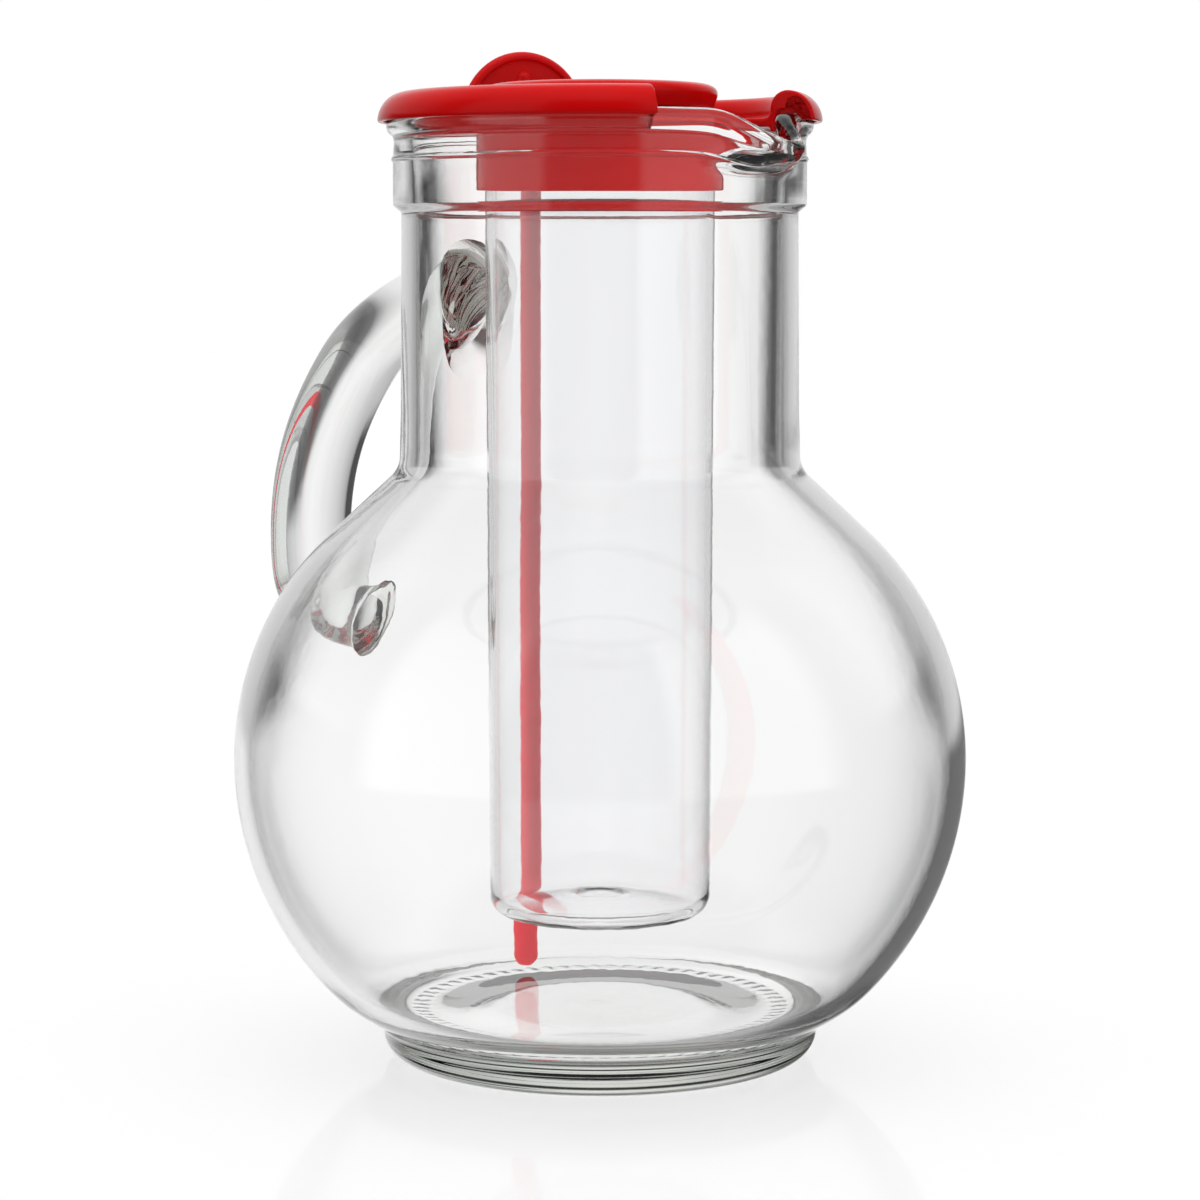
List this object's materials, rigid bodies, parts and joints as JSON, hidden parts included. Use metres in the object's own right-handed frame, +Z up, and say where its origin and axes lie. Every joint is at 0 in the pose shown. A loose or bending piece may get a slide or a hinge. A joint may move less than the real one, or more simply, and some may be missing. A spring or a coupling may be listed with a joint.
{
  "type": "juice carafe",
  "caption": "Ball-shaped clear glass jug with a looped handle and pinched spout, a red lid with a pouring gap, a drop-in ice tube with a cap, and a stirrer hung through the lid.",
  "frame": {"origin": "on the table under the middle of the outline; the jug's turning axis is 9.87 mm from it towards the spout", "axes": "+Z up, +X towards the spout, -X towards the handle, +Y to the left of someone looking along +X"},
  "size_m": [0.1897, 0.17, 0.2342],
  "materials": {
    "clear_glass": "polished clear soda-lime glass, faint grey-green in thick parts",
    "red_plastic": "satin to gloss moulded red plastic",
    "clear_plastic": "clear moulded plastic with a faint lilac-grey cast"
  },
  "bodies": {
    "jug": {"glass_jug": "clear_glass", "glass_handle": "clear_glass"},
    "lid": {"lid": "red_plastic"},
    "ice_tube": {"ice_tube": "clear_plastic"},
    "ice_cap": {"ice_cap": "red_plastic"},
    "stirrer": {"stirrer": "red_plastic"}
  },
  "joints": [
    {"name": "lid_lift", "type": "slide", "parent": "jug", "child": "lid", "axis": [0, 0, 1], "range_m": [0, 0.22]},
    {"name": "ice_tube_lift", "type": "slide", "parent": "lid", "child": "ice_tube", "axis": [0, 0, 1], "range_m": [0, 0.195]},
    {"name": "ice_cap_lift", "type": "slide", "parent": "ice_tube", "child": "ice_cap", "axis": [0, 0, 1], "range_m": [0, 0.03]},
    {"name": "stirrer_lift", "type": "slide", "parent": "lid", "child": "stirrer", "axis": [0, 0, 1], "range_m": [0, 0.215]}
  ]
}
